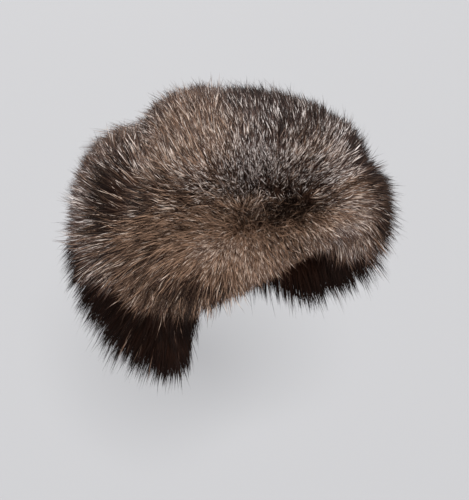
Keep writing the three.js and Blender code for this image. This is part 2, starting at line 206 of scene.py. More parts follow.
# Random turn of the tufts out of the combed direction, in radians, and its wavelength and seed
SWING = 0.2
SWING_SCATTER = 0.18
SWING_WAVES = (42.0, 5)

# Waves in a field of smooth random values, and the range of their wavelengths
WAVE_COUNT = 14
WAVE_STRETCH = (0.75, 1.5)

# Strip of a hair: where along it the strip has two corners, how wide it is there, its random
# roll in radians and the spread of its width
HAIR_STEPS = (0.40, 0.75)
HAIR_WIDTHS = (1.0, 0.8)
HAIR_ROLL = 0.5
WIDTH_SPREAD = (0.7, 1.25)
STRIP_SIDES = (0, -1, 1, -1, 1, 0)
STRIP_FACES = ((0, 2, 1), (1, 2, 4), (1, 4, 3), (3, 4, 5))

# Lower hair at the lobe's parting, and at the undercoat's edge
LOBE_PARTING_WIDTH = 16.0
LOBE_PARTING_DEPTH = 0.6
EDGE_RISE = 0.4
EAR_EDGE_FLATNESS = 0.7

# Valley in front of the lobe: where it ends, and the shorter hair in and beside it
VALLEY_HEIGHTS = (-75.0, -45.0)
VALLEY_EDGE = 26.0
VALLEY_LIE = 0.25
VALLEY_RISE = 0.3
VALLEY_RISE_WIDTH = 14.0

# Left temple, where the hair lies shorter, hangs lower at the hem and stands out further
TEMPLE_TURN = -50.0
TEMPLE_WIDTH = 26.0
TEMPLE_LIE = 0.62
TEMPLE_NAPE_RISE = 1.3
TEMPLE_CUFF_RISE = 1.75
TEMPLE_CUFF_DEPTHS = (54.0, 78.0)
TEMPLE_HEM_LIE = 1.1

# Shorter lie of the cuff's hair towards its hem
HEM_LIE = 0.5
HEM_REACH = 45.0

# The crease over the brow that the hair runs away from: its turns, its distance outside the
# hides' inner face, and its heights at both ends and in the middle
CREASE_TURNS = (2.0, 36.0)
CREASE_DEPTH = 22.0
CREASE_HEIGHTS = (-34.0, -26.0, -38.0)
CREASE_STEPS = 40

# Hair near the crease stands up: up to what distance, and how short its lie and rise get
CREASE_COVER = 25.0
CREASE_REACH = (4.0, 75.0)
CREASE_LIE = 0.3
CREASE_RISE = 0.8

# Shallow groove over the top of the crown: where it shows across the picture, its half width,
# the levels at which it ends and how much lower the hair stands in it
CREST_GROOVE = 233.0
CREST_GROOVE_WIDTH = 9.0
CREST_GROOVE_LEVELS = (0.45, 0.65)
CREST_GROOVE_DEPTH = 0.3

# Directions in which the hair is combed, and where each sets in
CROWN_LIFT = np.array([0.0, 0.25, 0.9])
LIFT_HEIGHTS = (-5.0, 30.0)
CROWN_DROP = np.array([0.0, 0.8, -1.0])
CROWN_BACK = (25.0, 80.0)
CUFF_FALL = np.array([0.0, 0.0, -0.8])
FALL_DEPTHS = (0.0, 35.0)
TEMPLE_FALL = np.array([0.0, 0.0, -0.85])
LOBE_MIDDLE = -70.0
LOBE_FAN = 0.012
LOBE_SWEEP = 0.8
LOBE_BACK_TURNS = (115.0, 160.0)
LOBE_AWAY = 0.2
NAPE_FALL = np.array([0.0, 0.0, -1.0])
NAPE_SPREAD = 0.22

# Camera: aim, direction and distance, how the aim lies in the picture, and the depth in metres
# that it sees
AIM = np.array([0.0, 0.0, -90.0])
CAMERA_AZIMUTH = -35.0
CAMERA_ELEVATION = 17.0
CAMERA_ROLL = 2.0
CAMERA_DISTANCE = 1400.0
PICTURE_WIDTH = 469.0
PICTURE_HEIGHT = 500.0
PICTURE_OFFSET = (-2.5, -20.5)
SENSOR = 36.0
SEEN_DEPTH = (0.05, 100.0)

# Stage: floor, daylight, and suns with azimuth, elevation, softness in radians and strength
FLOOR_HALF_WIDTH = 14000.0
FLOOR_HEIGHT = -700.0
FLOOR_COLOUR = (0.50, 0.50, 0.51)
SKY_COLOUR = (0.98, 0.98, 1.0)
SKY_STRENGTH = 0.5
SUNS = {
    "Key": (CAMERA_AZIMUTH + 4.0, CAMERA_ELEVATION + 8.0, 0.25, 3.6),
    "Top": (60.0, 70.0, 0.6, 0.5),
    "Back": (150.0, 25.0, 0.5, 1.2),
}

# Finishes as roughness and gloss. A mottled one also has the noise's scale and detail, its two
# colours, and the range of the noise between them.
HAIR_ROUGHNESS = 0.5
MOTTLED_FINISH = (0.9, 0.2)
FLOOR_FINISH = (0.9, 0.1)
UNDERFUR = {"scale": 45.0, "deep": (0.016, 0.007, 0.004), "pale": (0.046, 0.019, 0.010)}
SUEDE = {"scale": 120.0, "deep": (0.145, 0.094, 0.058), "pale": (0.22, 0.148, 0.094)}
MOTTLING_DETAIL = 4.0
MOTTLING_RANGE = (0.33, 0.67)

# Colours of a hair, each with its share of the way from the root to the tip
STRAND_COLOURS = {
    "dark": (
        (0.0, (0.034, 0.014, 0.008)),
        (0.55, (0.020, 0.009, 0.006)),
        (1.0, (0.005, 0.0035, 0.003)),
    ),
    "cool brown": (
        (0.0, (0.052, 0.023, 0.015)),
        (0.35, (0.098, 0.049, 0.033)),
        (0.65, (0.24, 0.158, 0.122)),
        (1.0, (0.05, 0.030, 0.024)),
    ),
    "warm brown": (
        (0.0, (0.095, 0.038, 0.018)),
        (0.35, (0.19, 0.084, 0.042)),
        (0.65, (0.38, 0.240, 0.160)),
        (1.0, (0.24, 0.135, 0.084)),
    ),
    "cool band": (
        (0.0, (0.040, 0.020, 0.014)),
        (0.44, (0.075, 0.042, 0.030)),
        (0.56, (0.58, 0.51, 0.48)),
        (0.72, (0.80, 0.745, 0.72)),
        (0.80, (0.09, 0.06, 0.055)),
        (1.0, (0.008, 0.006, 0.007)),
    ),
    "warm band": (
        (0.0, (0.050, 0.024, 0.015)),
        (0.42, (0.13, 0.068, 0.042)),
        (0.56, (0.46, 0.32, 0.23)),
        (0.72, (0.62, 0.48, 0.38)),
        (0.81, (0.10, 0.055, 0.04)),
        (1.0, (0.010, 0.006, 0.005)),
    ),
}

# Tones over which a dark hair turns brown, and over which it gets a pale band
BROWN_RANGE = (0.1, 0.45)
BAND_RANGE = (0.5, 0.9)

# Tones of the brown and of the banded hairs, the largest share of banded ones, and how tufts
# and hairs differ. The colours along a hair are stretched towards its tip or drawn back.
BROWN_TONES = (0.3, 0.6)
BANDED_TONES = (0.72, 1.0)
MOST_BANDED = 0.95
TUFT_CONTRAST = 0.3
WARMTH_SCATTER = 0.12
MOST_WARMTH = 0.999
COLOUR_STRETCH = (0.88, 1.14)
COLOUR_STRETCH_SCATTER = 0.03

# Smooth changes in the share of banded hair and in the warmth: amount, wavelength and seed
BANDED_WAVES = ((0.1, 24.0, 9), (0.08, 60.0, 12))
WARMTH_WAVES = (0.12, 50.0, 21)

# Steps of tone and warmth. Each pair has a column of its own in the baked colours, where a hair
# keeps off the column's sides and off both ends.
TONES = 16
WARMTHS = 4
COLUMN_REACH = 0.4
COLUMN_END = 0.01

# A tuft shows in the picture this share of HAIR_RISE above the undercoat, and a spot changes
# only fur that faces the camera
SHOWN_RISE = 0.7
SHOWN_FACING = (-0.1, 0.25)

# What is added to the shares of banded and brown hair and to the warmth: in the valley it is
# painted shade, and at the left side and in the dark rims at the right of the picture, which go
# on behind the outline, it is darker hair that is partly painted shade where the fur turns from
# the light
VALLEY_SHADE_WIDTH = 7.0
VALLEY_PAINTED_SHADE_SHIFTS = (-0.4, -0.4, 0.0)
LEFT_SIDE_TURN = -76.0
LEFT_SIDE_WIDTH = 26.0
LEFT_SIDE_DARK_HAIR_AND_SHADE_SHIFTS = (-0.45, -0.5, 0.0)
RIMS = (((391.0, 220.0), (15.0, 66.0)), ((371.0, 158.0), (13.0, 30.0)))
RIM_DARK_HAIR_AND_SHADE_SHIFTS = (-1.4, -1.3, 0.0)

# Spots of the fur in the picture: centre, size and what is added. At the partings and in the
# valley the darkening is painted shade.
SPOTS = {
    "swirl": ((284.0, 203.0), (26.0, 11.0), (-0.5, -0.5, 0.3)),
    "swirl side": ((322.0, 196.0), (22.0, 12.0), (-0.3, -0.5, 0.0)),
    # Painted shadow under the crown's overhang, over warmer brown hair
    "parting": ((256.0, 220.0), (44.0, 10.0), (-0.75, 0.25, 0.9)),
    "tan patch": ((212.0, 238.0), (34.0, 18.0), (0.65, 1.0, 1.0)),
    "brow": ((240.0, 262.0), (54.0, 20.0), (0.32, 0.4, 0.2)),
    "brow right": ((305.0, 248.0), (26.0, 16.0), (-0.1, -0.35, 0.1)),
    "right cuff": ((360.0, 225.0), (36.0, 48.0), (0.75, 0.4, -0.3)),
    # Painted shadow under the crown's overhang at the right, over warmer brown hair
    "right parting shadow": ((330.0, 214.0), (28.0, 10.0), (-0.6, 0.1, 0.8)),
    "front lobe": ((165.0, 150.0), (46.0, 46.0), (0.08, 0.3, 0.3)),
    "low left": ((192.0, 274.0), (48.0, 32.0), (-0.55, -0.55, 0.5)),
    "crown left": ((204.0, 128.0), (36.0, 34.0), (0.0, 0.2, 0.2)),
    "crown top": ((272.0, 108.0), (34.0, 22.0), (-0.28, -0.45, -0.25)),
    "crown right": ((335.0, 120.0), (34.0, 26.0), (-0.1, -0.3, -0.25)),
    # Painted shade in the valley in front of the lobe; below it partly browner hair, partly
    # painted shade
    "valley upper shade": ((122.0, 146.0), (9.0, 24.0), (-0.25, -0.2, 0.0)),
    "valley lower shade": ((116.0, 192.0), (13.0, 24.0), (-0.5, -0.3, 0.1)),
    "left brown and shade": ((126.0, 218.0), (18.0, 22.0), (-0.4, -0.2, 0.3)),
    "lobe brown": ((176.0, 222.0), (46.0, 30.0), (-0.5, -0.15, 0.45)),
    "lobe edge": ((98.0, 225.0), (14.0, 44.0), (0.45, 0.3, -0.2)),
    "lobe top": ((114.0, 170.0), (13.0, 18.0), (0.3, 0.2, -0.1)),
    "white strands": ((265.0, 165.0), (50.0, 34.0), (0.12, -0.3, -0.2)),
}


def mix(a, b, share):
    return a + (b - a) * share


def smooth(value, low, high):
    """Soft step from 0 at low to 1 at high."""
    share = np.clip((value - low) / (high - low), 0.0, 1.0)
    return share * share * (3.0 - 2.0 * share)


def bell(distance, width):
    return np.exp(-((distance / width) ** 2))


def unit(vectors):
    length = np.linalg.norm(vectors, axis=-1, keepdims=True)
    return vectors / np.maximum(length, TINY)


def tangential(vectors, normals):
    return vectors - normals * np.sum(vectors * normals, axis=-1, keepdims=True)


def turned(vectors, normals, angles):
    """Vectors turned about their normals, angles in radians."""
    side = np.cross(normals, vectors)
    return vectors * np.cos(angles)[:, None] + side * np.sin(angles)[:, None]


def waves(points, wavelength, seed):
    """Smooth random values of about -1 to 1 over space, that repeat for a seed."""
    rng = np.random.default_rng(seed)
    heading = unit(rng.normal(size=(WAVE_COUNT, 3)))
    stretch = rng.uniform(*WAVE_STRETCH, size=(WAVE_COUNT, 1))
    pitch = 2.0 * math.pi / (wavelength * stretch)
    phase = rng.uniform(0.0, 2.0 * math.pi, size=WAVE_COUNT)
    return np.sin(points @ (heading * pitch).T + phase).sum(axis=-1) / math.sqrt(WAVE_COUNT)


def signed_turn(turn):
    """Turn from -180 to 180, above 0 at the wearer's right."""
    return (np.asarray(turn) + 180.0) % 360.0 - 180.0


def turn_from_front(turn):
    return np.abs(signed_turn(turn))


def back_blend(turn):
    """0 in front of the valley and 1 behind it."""
    away = turn_from_front(turn)
    return smooth(away, VALLEY_TURN - TURN_BLEND, VALLEY_TURN + TURN_BLEND)


def left_temple(turn):
    return bell(signed_turn(turn) - TEMPLE_TURN, TEMPLE_WIDTH)


def part_height(turn):
    """Seam between the crown's hide and the band's, where the fur parts over the brow."""
    drop = smooth(turn_from_front(turn), *TEMPLE_DROP_TURNS)
    return mix(mix(PART_FRONT, PART_TEMPLE, drop), PART_BACK, back_blend(turn))


def hem_height(turn):
    """Lower edge of the pale cuff, which hangs lower over the right temple than the left."""
    side = signed_turn(turn)
    temple = mix(HEM_FRONT, HEM_TEMPLE, smooth(side, *HEM_DROP_TURNS))
    return mix(temple, HEM_BACK, smooth(np.abs(side), *HEM_RISE_TURNS))


def nape_height(turn):
    """Lower edge of the nape's hide, which hangs lower over the right ear than the left."""
    ear = np.where(signed_turn(turn) > 0.0, NAPE_RIGHT_EAR, NAPE_LEFT_EAR)
    return mix(ear, NAPE_BACK, smooth(turn_from_front(turn), *NAPE_RISE_TURNS))


def ear_drop(turn):
    """Share of the drop from the brow's hem to the nape's edge, which is slower at the left."""
    side = signed_turn(turn)
    right, left = smooth(side, *RIGHT_EAR_TURNS), smooth(-side, *LEFT_EAR_TURNS)
    return np.where(side > 0.0, right, left)


def edge_height(turn):
    return mix(hem_height(turn), nape_height(turn), ear_drop(turn))


def level_at(height):
    rise = np.clip((height + DOME_HEIGHT) / DOME_HEIGHT, 0.0, 1.0)
    on_dome = np.arccos(rise ** (DOME_ROUNDNESS / 2.0)) / (math.pi / 2.0)
    return np.where(height < -DOME_HEIGHT, -height / DOME_HEIGHT, on_dome)


def height_at(level):
    quarter = np.minimum(level, 1.0) * math.pi / 2.0
    on_dome = np.maximum(np.cos(quarter), 0.0) ** (2.0 / DOME_ROUNDNESS) - 1.0
    return np.where(level > 1.0, -level * DOME_HEIGHT, on_dome * DOME_HEIGHT)


def parting_level(turn):
    """Level at which the crown's fur ends and the cuff's begins."""
    return level_at(part_height(turn)) + BACK_PARTING_SHIFT * back_blend(turn)


def skin_normal(turn, level):
    angle = np.radians(turn)
    quarter = np.minimum(level, 1.0) * math.pi / 2.0
    power = 2.0 * (DOME_ROUNDNESS - 1.0) / DOME_ROUNDNESS
    side = np.sin(quarter) ** power
    rise = np.maximum(np.cos(quarter), 0.0) ** power
    x = -side * np.sin(angle) / HOLLOW_HALF_WIDTH
    y = -side * np.cos(angle) / HOLLOW_HALF_DEPTH
    return unit(np.stack([x, y, rise / DOME_HEIGHT], axis=-1))


def skin_point(turn, level, out):
    angle = np.radians(turn)
    spread = np.sin(np.minimum(level, 1.0) * math.pi / 2.0) ** (2.0 / DOME_ROUNDNESS)
    x = -HOLLOW_HALF_WIDTH * spread * np.sin(angle)
    y = -HOLLOW_HALF_DEPTH * spread * np.cos(angle)
    point = np.stack([x, y, height_at(level)], axis=-1)
    return point + skin_normal(turn, level) * np.asarray(out)[..., None]


def tip_reach(turn, level):
    """How far the hair tips stand outside the hides' inner face."""
    height = height_at(level)
    behind = back_blend(turn)
    nape_share = smooth(hem_height(turn) - height, *NAPE_DEPTHS)
    brow = PARTING_LOSS * bell(signed_turn(turn) - PARTING_TURN, PARTING_SPAN)
    depth = np.maximum(brow, LOBE_LOSS * behind)
    parting = depth * bell(height_at(parting_level(turn)) - height, PARTING_WIDTH)
    valley = VALLEY_LOSS * bell(turn_from_front(turn) - VALLEY_TURN, VALLEY_WIDTH)
    widest = mix(REACH_CUFF, REACH_LOBE, behind)
    shoulder = mix(REACH_TOP, widest, smooth(level, *SHOULDER_LEVELS))
    full = shoulder - np.maximum(parting, valley) * smooth(level, *PARTING_LEVELS)
    return mix(full, REACH_NAPE, nape_share) - CREST_DIP * bell(level, CREST_WIDTH)


def fur_point(turn, level, out):
    point = skin_point(turn, level, out)
    point[..., 2] -= FUR_SAG * smooth(level, *SAG_LEVELS) * (out / REACH_CUFF)
    return point


def undercoat_grid():
    """Places, points and outward normals of the undercoat, from the top down to its edge, and
    how open it still is where it closes in to the hides."""
    turns = np.linspace(*ALL_ROUND, AROUND + 1)[None, :]
    shares = np.linspace(TOP_START, 1.0, DOWN + 1)[:, None]
    levels = shares * level_at(edge_height(turns))
    turns = np.broadcast_to(turns, levels.shape)
    rounding = mix(BROW_ROUNDING, NAPE_ROUNDING, ear_drop(turns))
    past = np.maximum((shares - rounding) / (1.0 - rounding), 0.0)
    closing = np.sqrt(np.maximum(1.0 - past**2, 0.0))
    depth = np.maximum((tip_reach(turns, levels) - HAIR_RISE) * closing, HIDE_THICKNESS)
    points = fur_point(turns, levels, depth)
    across = np.gradient(points, axis=1)
    across[:, 0] = across[:, -1] = points[:, 1] - points[:, -2]
    normals = unit(np.cross(across, np.gradient(points, axis=0)))
    outside = np.sum(normals * skin_normal(turns, levels), axis=-1).mean() > 0
    return {
        "turn": turns,
        "level": levels,
        "point": points,
        "normal": normals if outside else -normals,
        "closing": closing,
    }


def region_cells(grid):
    """Which of the undercoat's cells each fur covers."""
    turn = (grid["turn"][:-1, :-1] + grid["turn"][:-1, 1:]) / 2.0
    level = (grid["level"][:-1, :-1] + grid["level"][1:, 1:]) / 2.0
    crown = level < parting_level(turn)
    beside = bell(turn_from_front(turn) - VALLEY_TURN, VALLEY_HEM_WIDTH)
    left = bell(signed_turn(turn) - LEFT_HEM_TURN, LEFT_HEM_WIDTH)
    rise = mix(mix(HAIR_HEM_RAISE, VALLEY_HEM_RAISE, beside), LEFT_HEM_RAISE, left)
    hair_hem = level_at(hem_height(turn) + rise)
    nape = ~crown & (level > hair_hem) & (ear_drop(turn) > LEAST_EAR_DROP)
    cuff = ~crown & ~nape
    front = turn_from_front(turn) < VALLEY_TURN
    return {
        "crown": crown,
        "front_cuff": cuff & front,
        "back_cuff": cuff & ~front,
        "nape": nape,
    }


def scatter(grid, cells, count, rng):
    """Random places over some of the undercoat's cells, even in area."""
    corner = grid["point"]
    along = corner[:-1, 1:] - corner[:-1, :-1]
    down = corner[1:, :-1] - corner[:-1, :-1]
    area = np.linalg.norm(np.cross(along, down), axis=-1) * cells
    chosen = rng.choice(area.size, size=count, p=(area / area.sum()).ravel())
    row, column = np.unravel_index(chosen, area.shape)
    a, b = rng.uniform(size=count), rng.uniform(size=count)

    def blended(values):
        """Values at the corners of the chosen cells, blended at the place in each cell."""
        u, v = (a[:, None], b[:, None]) if values.ndim == 3 else (a, b)
        top = mix(values[row, column], values[row, column + 1], u)
        low = mix(values[row + 1, column], values[row + 1, column + 1], u)
        return mix(top, low, v)

    found = {name: blended(values) for name, values in grid.items()}
    found["normal"] = unit(found["normal"])
    return found


def from_crease(point):
    """Way from the nearest place of the crease over the brow to each point."""
    share = np.linspace(0.0, 1.0, CREASE_STEPS)
    start, middle, end = CREASE_HEIGHTS
    bow = 4 * middle - start - end
    crease = skin_point(
        mix(*CREASE_TURNS, share), np.ones(CREASE_STEPS), np.full(CREASE_STEPS, CREASE_DEPTH)
    )
    crease[:, 2] = start * (1 - share) ** 2 + bow * share * (1 - share) + end * share**2
    nearest = np.array([np.argmin(np.sum((crease - one) ** 2, axis=1)) for one in point])
    return point - crease[nearest]


def lobe_flow(place):
    """Hair fans out backwards from the middle of the lobe and hangs at the back."""
    behind = smooth(turn_from_front(place["turn"]), *LOBE_BACK_TURNS)
    fan = mix((place["point"][:, 2] - LOBE_MIDDLE) * LOBE_FAN, -LOBE_SWEEP, behind)
    flow = np.stack([np.zeros_like(fan), LOBE_SWEEP * (1.0 - behind), fan], axis=-1)
    return unit(tangential(flow, place["normal"]))


def flow_over(region, place):
    """Direction in which the hair of a fur is combed. On all but the nape's it runs away from
    the crease over the brow."""
    turn, normal = place["turn"], place["normal"]
    if region == "nape":
        return unit(skin_normal(turn, place["level"]) * NAPE_SPREAD + NAPE_FALL)
    away = unit(tangential(from_crease(place["point"]), normal))
    if region == "back_cuff":
        return unit(lobe_flow(place) + LOBE_AWAY * away)
    above = height_at(place["level"]) - part_height(turn)
    if region == "crown":
        behind = smooth(place["point"][:, 1], *CROWN_BACK)[:, None]
        lift = mix(CROWN_LIFT, CROWN_DROP, behind) * smooth(above, *LIFT_HEIGHTS)[:, None]
        return unit(away * (1.0 - behind) + tangential(lift, normal))
    fall = CUFF_FALL * smooth(-above, *FALL_DEPTHS)[:, None]
    fall = fall + TEMPLE_FALL * left_temple(turn)[:, None]
    return unit(away + tangential(fall, normal))


def valley_share(place, width):
    """How far a place is in the valley in front of the lobe, between crown and cuff."""
    across = bell(turn_from_front(place["turn"]) - VALLEY_TURN, width)
    top = smooth(place["level"], *PARTING_LEVELS)
    return across * top * smooth(height_at(place["level"]), *VALLEY_HEIGHTS)


def beside_valley(place):
    away = np.abs(VALLEY_TURN - turn_from_front(place["turn"]))
    return (1.0 - smooth(away, 0.0, VALLEY_EDGE)) * smooth(place["level"], *PARTING_LEVELS)


def near_crease(place):
    distance = np.linalg.norm(from_crease(place["point"]), axis=-1) - CREASE_COVER
    return 1.0 - smooth(distance, *CREASE_REACH)


def at_lobe_parting(place):
    """How near a place is to the lobe's parting, which fades out towards the back."""
    turn = place["turn"]
    height = height_at(place["level"]) - height_at(parting_level(turn))
    sides = 1.0 - smooth(turn_from_front(turn), *LOBE_BACK_TURNS)
    return sides * back_blend(turn) * bell(height, LOBE_PARTING_WIDTH)


def in_crest_groove(place):
    across = bell(in_picture(place["point"])[0] - CREST_GROOVE, CREST_GROOVE_WIDTH)
    return across * (1.0 - smooth(place["level"], *CREST_GROOVE_LEVELS))


def hair_lengths(region, place):
    """How far the hair at each place rises off the undercoat, and how far it lies along it."""
    turn, height = place["turn"], height_at(place["level"])
    temple = left_temple(turn)
    parting = 1.0 - LOBE_PARTING_DEPTH * at_lobe_parting(place)
    standing = near_crease(place) if region in FRONT_FURS else np.zeros(len(turn))

    lie = FURS[region]["lie"] * mix(1.0, CREASE_LIE, standing)
    rise = FURS[region]["rise"] * mix(1.0, CREASE_RISE, standing)
    rise = rise * mix(EDGE_RISE, 1.0, place["closing"])
    rise = rise * mix(1.0, VALLEY_RISE, valley_share(place, VALLEY_RISE_WIDTH))
    if region in FRONT_FURS:
        lie = lie * mix(1.0, VALLEY_LIE, beside_valley(place))
    if region == "nape":
        rise = rise * mix(1.0, TEMPLE_NAPE_RISE, temple)
    else:
        lie = lie * mix(1.0, TEMPLE_LIE, temple)
    if region == "front_cuff":
        hem_lie = mix(HEM_LIE, TEMPLE_HEM_LIE, temple)
        lie = lie * mix(hem_lie, 1.0, smooth(height - hem_height(turn), 0.0, HEM_REACH))
        low_temple = temple * smooth(-height, *TEMPLE_CUFF_DEPTHS)
        rise = rise * mix(1.0, TEMPLE_CUFF_RISE, low_temple)
    rise = rise * parting
    if region == "crown":
        lie = lie * parting
        rise = rise * (1.0 - CREST_GROOVE_DEPTH * in_crest_groove(place))
    if region == "nape":
        # Lowest halfway down the edge in front of the right ear, where the parabola is 1
        drop = np.where(signed_turn(turn) > 0.0, ear_drop(turn), 1.0)
        rise = rise * (1.0 - EAR_EDGE_FLATNESS * 4.0 * drop * (1.0 - drop))
    return rise, lie


def trimmed(root, tip, box):
    """Tips drawn back towards their roots until none is outside the box."""
    low, high = box
    hair = np.where(np.abs(tip - root) < SHORTEST, SHORTEST, tip - root)
    room = np.where(hair > 0.0, high - root, low - root) / hair
    return root + hair * np.minimum(room.min(axis=1), 1.0)[:, None]


def hair_tufts(region, layer, place, box, rng):
    """Root, bend, tip, tone and warmth of every hair of a layer, in a pointed tuft at each
    place."""
    point, normal = place["point"], place["normal"]
    count = len(point)
    swing = SWING * waves(point, *SWING_WAVES) + rng.normal(scale=SWING_SCATTER, size=count)
    flow = turned(flow_over(region, place), normal, swing)
    side = unit(np.cross(normal, flow))
    tuft_rise, tuft_lie = hair_lengths(region, place)
    tuft_lie = tuft_lie * rng.uniform(*TUFT_LIES, size=count)

    hairs = count * HAIRS_PER_TUFT
    tuft = np.repeat(np.arange(count), HAIRS_PER_TUFT)
    offset = rng.normal(scale=TUFT_RADIUS, size=(hairs, 2))
    spread = rng.normal(scale=TIP_SCATTER, size=(hairs, 2))
    stray = rng.uniform(size=hairs) < STRAY_SHARE
    spread[stray] += rng.normal(scale=STRAY_SCATTER, size=(int(stray.sum()), 2))
    length = layer["longest"] - layer["spread"] * rng.uniform(size=hairs) ** SHORTER_HAIRS
    tuft_length = np.clip(rng.normal(1.0, TUFT_LENGTH_SPREAD, size=count), *TUFT_LENGTHS)
    length = length * tuft_length[tuft]
    length = length * np.where(stray, FURS[region]["stray_length"], 1.0)

    normal, flow, side = normal[tuft], flow[tuft], side[tuft]

    def in_plane(pair):
        return side * pair[:, :1] + flow * pair[:, 1:]

    root = point[tuft] + in_plane(offset) - normal * ROOT_DEPTH
    rise = (tuft_rise[tuft] + ROOT_DEPTH) * length
    lie = tuft_lie[tuft] * length
    tip = root + normal * rise[:, None] + flow * lie[:, None]
    tip += in_plane(spread - (1.0 - TIP_GATHER) * offset)
    tip[:, 2] -= DROOP * smooth(place["level"][tuft], *SAG_LEVELS)
    bend = root + normal * (rise * EARLY_RISE)[:, None] + flow * (lie * EARLY_LIE)[:, None]
    bend += in_plane(rng.normal(scale=BEND_SCATTER, size=(hairs, 2)))
    tone, warmth = hair_colours(region, layer, place, tuft, rng)
    stretch = rng.uniform(*COLOUR_STRETCH, size=count)[tuft]
    stretch = stretch + rng.normal(scale=COLOUR_STRETCH_SCATTER, size=hairs)
    return {
        "root": root,
        "bend": bend,
        "tip": trimmed(root, tip, box),
        "normal": normal,
        "tone": tone,
        "warmth": warmth,
        "stretch": stretch,
        "fineness": np.where(stray, STRAY_WIDTH, 1.0),
    }


def colour_shifts(place):
    """Where the fur is darker, browner or paler, from 0 to 1 at each place, and what is added
    there to the shares of banded and brown hair and to the warmth. In the valley and at the
    partings the darkening is painted shade, in the rims and at the left side partly so."""
    # Painted shade in the valley in front of the lobe
    yield valley_share(place, VALLEY_SHADE_WIDTH), VALLEY_PAINTED_SHADE_SHIFTS
    # Darker hair at the left side and in the rims, partly painted shade where the fur turns
    # away from the light
    left_side_dark_and_shade = bell(signed_turn(place["turn"]) - LEFT_SIDE_TURN, LEFT_SIDE_WIDTH)
    yield left_side_dark_and_shade, LEFT_SIDE_DARK_HAIR_AND_SHADE_SHIFTS
    x, y = in_picture(place["point"] + place["normal"] * HAIR_RISE * SHOWN_RISE)
    for (u, v), (wide, high) in RIMS:
        yield bell(x - u, wide) * bell(y - v, high), RIM_DARK_HAIR_AND_SHADE_SHIFTS
    facing = smooth(place["normal"] @ camera_axes()[2], *SHOWN_FACING)
    for (u, v), (wide, high), shifts in SPOTS.values():
        yield facing * bell(x - u, wide) * bell(y - v, high), shifts


def hair_colours(region, layer, place, tuft, rng):
    """Tone and warmth of every hair. Tone is 0 for a dark hair, 0.5 for a brown one and 1 for
    a hair with a pale band."""
    fur, point = FURS[region], place["point"]
    count, hairs = len(point), len(tuft)
    banded = np.full(count, fur["banded"]) + layer["banded"]
    for amount, wavelength, seed in BANDED_WAVES:
        banded = banded + amount * waves(point, wavelength, seed)
    brown = np.full(count, fur["brown"]) + layer["brown"]
    amount, wavelength, seed = WARMTH_WAVES
    warmth = fur["warmth"] + amount * waves(point, wavelength, seed)
    for near, shifts in colour_shifts(place):
        banded = banded + shifts[0] * near
        brown = brown + shifts[1] * near
        warmth = warmth + shifts[2] * near
    banded = np.clip(banded + rng.normal(scale=TUFT_CONTRAST, size=count), 0.0, MOST_BANDED)
    if region == "nape":
        # Dark from ear to ear, wherever it shows: dark hair, partly painted shade of the fur's
        # underside
        banded, brown = np.zeros(count), np.full(count, fur["brown"])
    brown = np.clip(brown, 0.0, 1.0)
    first, second = rng.uniform(size=hairs), rng.uniform(size=hairs)
    is_banded = first < banded[tuft]
    is_brown = ~is_banded & (second < brown[tuft])
    tone = rng.uniform(0.0, fur["dark_tone"], size=hairs)
    tone = np.where(is_brown, rng.uniform(*BROWN_TONES, size=hairs), tone)
    tone = np.where(is_banded, rng.uniform(*BANDED_TONES, size=hairs), tone)
    warmth = warmth[tuft] + rng.normal(scale=WARMTH_SCATTER, size=hairs)
    return tone, np.clip(warmth, 0.0, MOST_WARMTH)


def new_object(name, vertices, faces):
    mesh = bpy.data.meshes.new(name)
    corners = faces.shape[1]
    mesh.vertices.add(len(vertices))
    mesh.vertices.foreach_set("co", (vertices * MM).astype(np.float32).ravel())
    mesh.loops.add(faces.size)
    mesh.loops.foreach_set("vertex_index", faces.astype(np.int32).ravel())
    mesh.polygons.add(len(faces))
    starts = np.arange(len(faces), dtype=np.int32) * corners
    mesh.polygons.foreach_set("loop_start", starts)
    mesh.polygons.foreach_set("use_smooth", np.ones(len(faces), dtype=bool))
    mesh.update(calc_edges=True)
    made = bpy.data.objects.new(name, mesh)
    bpy.context.scene.collection.objects.link(made)
    return made


def hair_object(name, hairs, thickness, rng):
    """One flat tapering strip for each hair."""
    root, bend, tip = hairs["root"], hairs["bend"], hairs["tip"]
    count = len(root)
    roll = rng.normal(scale=HAIR_ROLL, size=count)
    width = thickness * hairs["fineness"] * rng.uniform(*WIDTH_SPREAD, size=count)
    rows = [root]
    for share, wide in zip(HAIR_STEPS, HAIR_WIDTHS):
        centre = root * (1 - share) ** 2 + bend * 2 * share * (1 - share) + tip * share**2
        ahead = unit((bend - root) * (1 - share) + (tip - bend) * share)
        across = unit(np.cross(ahead, hairs["normal"]))
        across = turned(across, ahead, roll) * (width * wide / 2.0)[:, None]
        rows += [centre - across, centre + across]
    vertices = np.stack([*rows, tip], axis=1)
    corners = vertices.shape[1]
    faces = np.arange(count)[:, None, None] * corners + np.array(STRIP_FACES)
    faces = faces.reshape(-1, 3)
    made = new_object(name, vertices.reshape(-1, 3), faces)
    store_hair_colours(made, hairs, faces)
    return made


